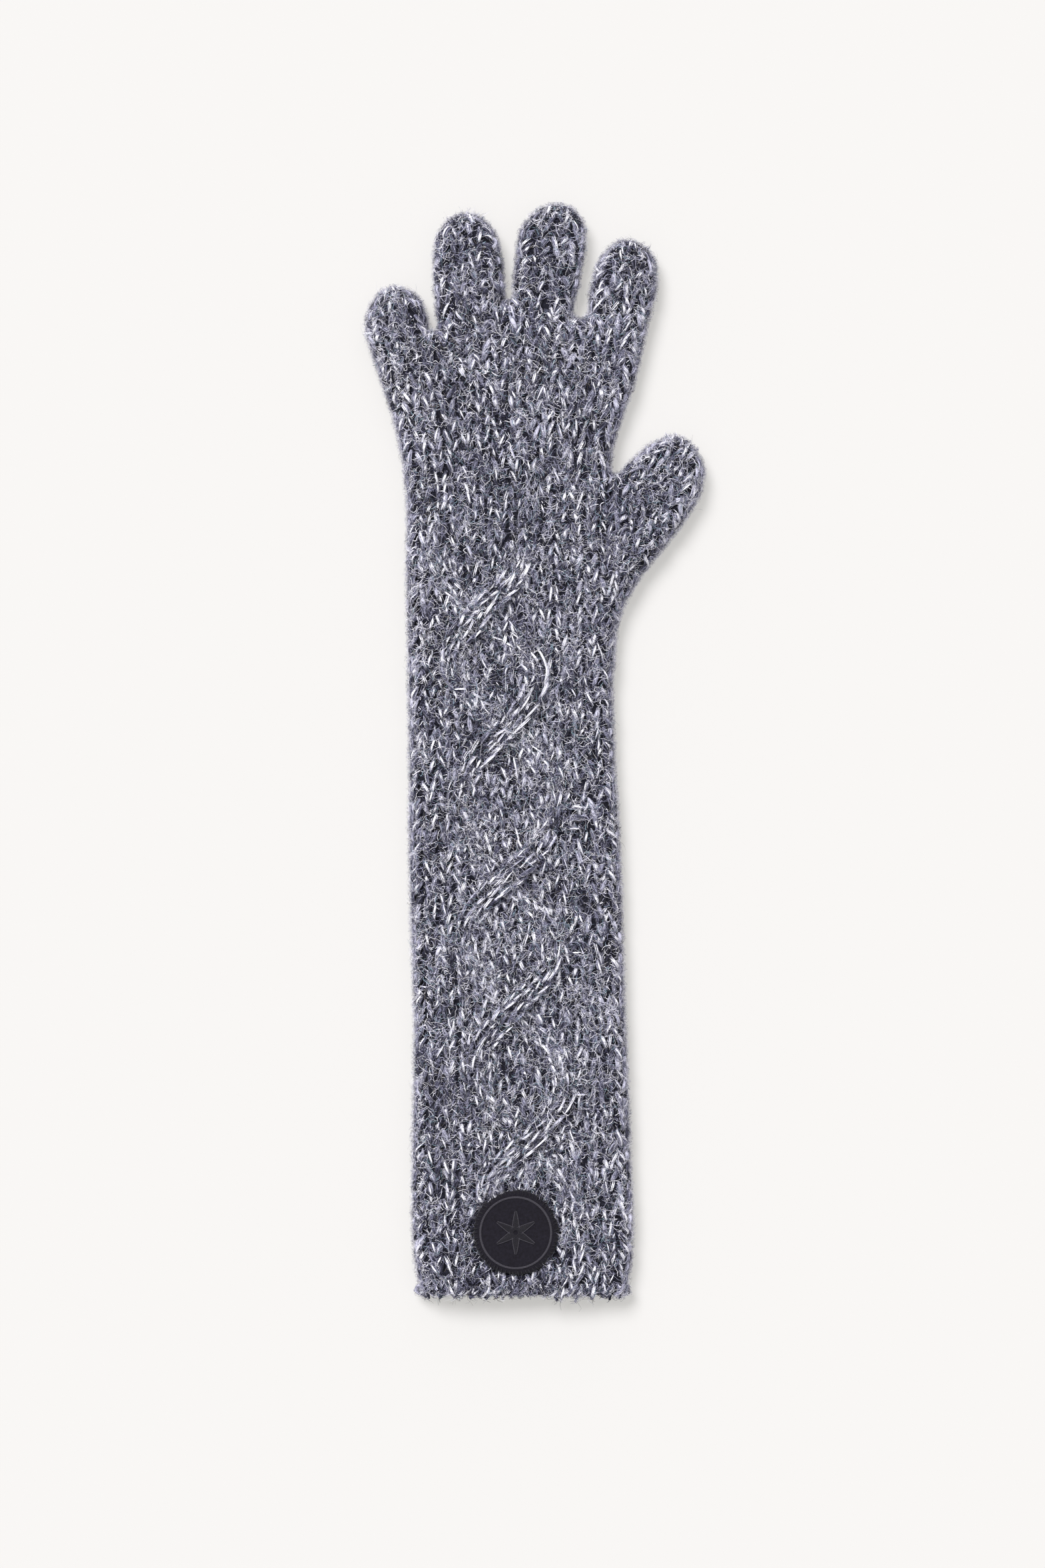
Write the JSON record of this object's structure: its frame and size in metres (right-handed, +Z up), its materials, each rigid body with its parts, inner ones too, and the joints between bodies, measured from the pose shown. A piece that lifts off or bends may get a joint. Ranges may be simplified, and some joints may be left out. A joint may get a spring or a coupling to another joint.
{
  "type": "knitted glove",
  "caption": "Long knitted left-hand glove laid flat: cable-panelled forearm cuff, hand with thumb gusset, folding fingers and a round felt badge.",
  "frame": {"origin": "on the resting surface, under the middle of the glove's outline", "axes": "+Z up out of the back of the hand; +Y from the hem at the forearm to the fingertips; +X towards the thumb side"},
  "size_m": [0.1436, 0.46, 0.0166],
  "materials": {
    "mohair_knit": "matte",
    "felt": "matte",
    "embroidery_thread": "satin"
  },
  "bodies": {
    "lower_cuff": {"cuff_lower": "mohair_knit", "hem_band": "mohair_knit", "badge_felt": "felt", "badge_ring": "embroidery_thread", "badge_star": "embroidery_thread"},
    "upper_cuff": {"cuff_upper": "mohair_knit"},
    "hand_body": {"hand": "mohair_knit"},
    "little": {"little_finger": "mohair_knit"},
    "ring": {"ring_base": "mohair_knit"},
    "ring_end": {"ring_tip": "mohair_knit"},
    "middle": {"middle_base": "mohair_knit"},
    "middle_end": {"middle_tip": "mohair_knit"},
    "index": {"index_base": "mohair_knit"},
    "index_end": {"index_tip": "mohair_knit"},
    "thumb_end": {"thumb": "mohair_knit"}
  },
  "joints": [
    {"name": "cuff_fold", "type": "hinge", "parent": "lower_cuff", "child": "upper_cuff", "pos_m": [-0.006, -0.096, 0.013], "axis": [1, 0, 0], "range_deg": [0, 80]},
    {"name": "wrist_fold", "type": "hinge", "parent": "upper_cuff", "child": "hand_body", "pos_m": [-0.006, 0.022, 0.013], "axis": [1, 0, 0], "range_deg": [0, 60]},
    {"name": "little_finger_fold", "type": "hinge", "parent": "hand_body", "child": "little", "pos_m": [-0.05858, 0.17742, 0.013], "axis": [0.9563, 0.2924, 0], "range_deg": [0, 75]},
    {"name": "ring_finger_fold", "type": "hinge", "parent": "hand_body", "child": "ring", "pos_m": [-0.02777, 0.19213, 0.013], "axis": [0.9976, 0.0698, 0], "range_deg": [0, 75]},
    {"name": "ring_fingertip_fold", "type": "hinge", "parent": "ring", "child": "ring_end", "pos_m": [-0.02884, 0.20749, 0.013], "axis": [0.9976, 0.0698, 0], "range_deg": [0, 50]},
    {"name": "middle_finger_fold", "type": "hinge", "parent": "hand_body", "child": "middle", "pos_m": [0.00475, 0.19252, 0.013], "axis": [0.9962, -0.0872, 0], "range_deg": [0, 75]},
    {"name": "middle_fingertip_fold", "type": "hinge", "parent": "middle", "child": "middle_end", "pos_m": [0.00626, 0.20985, 0.013], "axis": [0.9962, -0.0872, 0], "range_deg": [0, 50]},
    {"name": "index_finger_fold", "type": "hinge", "parent": "hand_body", "child": "index", "pos_m": [0.03573, 0.18388, 0.013], "axis": [0.9744, -0.225, 0], "range_deg": [0, 75]},
    {"name": "index_fingertip_fold", "type": "hinge", "parent": "index", "child": "index_end", "pos_m": [0.03897, 0.19791, 0.013], "axis": [0.9744, -0.225, 0], "range_deg": [0, 50]},
    {"name": "thumb_fold", "type": "hinge", "parent": "hand_body", "child": "thumb_end", "pos_m": [0.05164, 0.10944, 0.013], "axis": [0.866, -0.5, 0], "range_deg": [0, 75]}
  ]
}
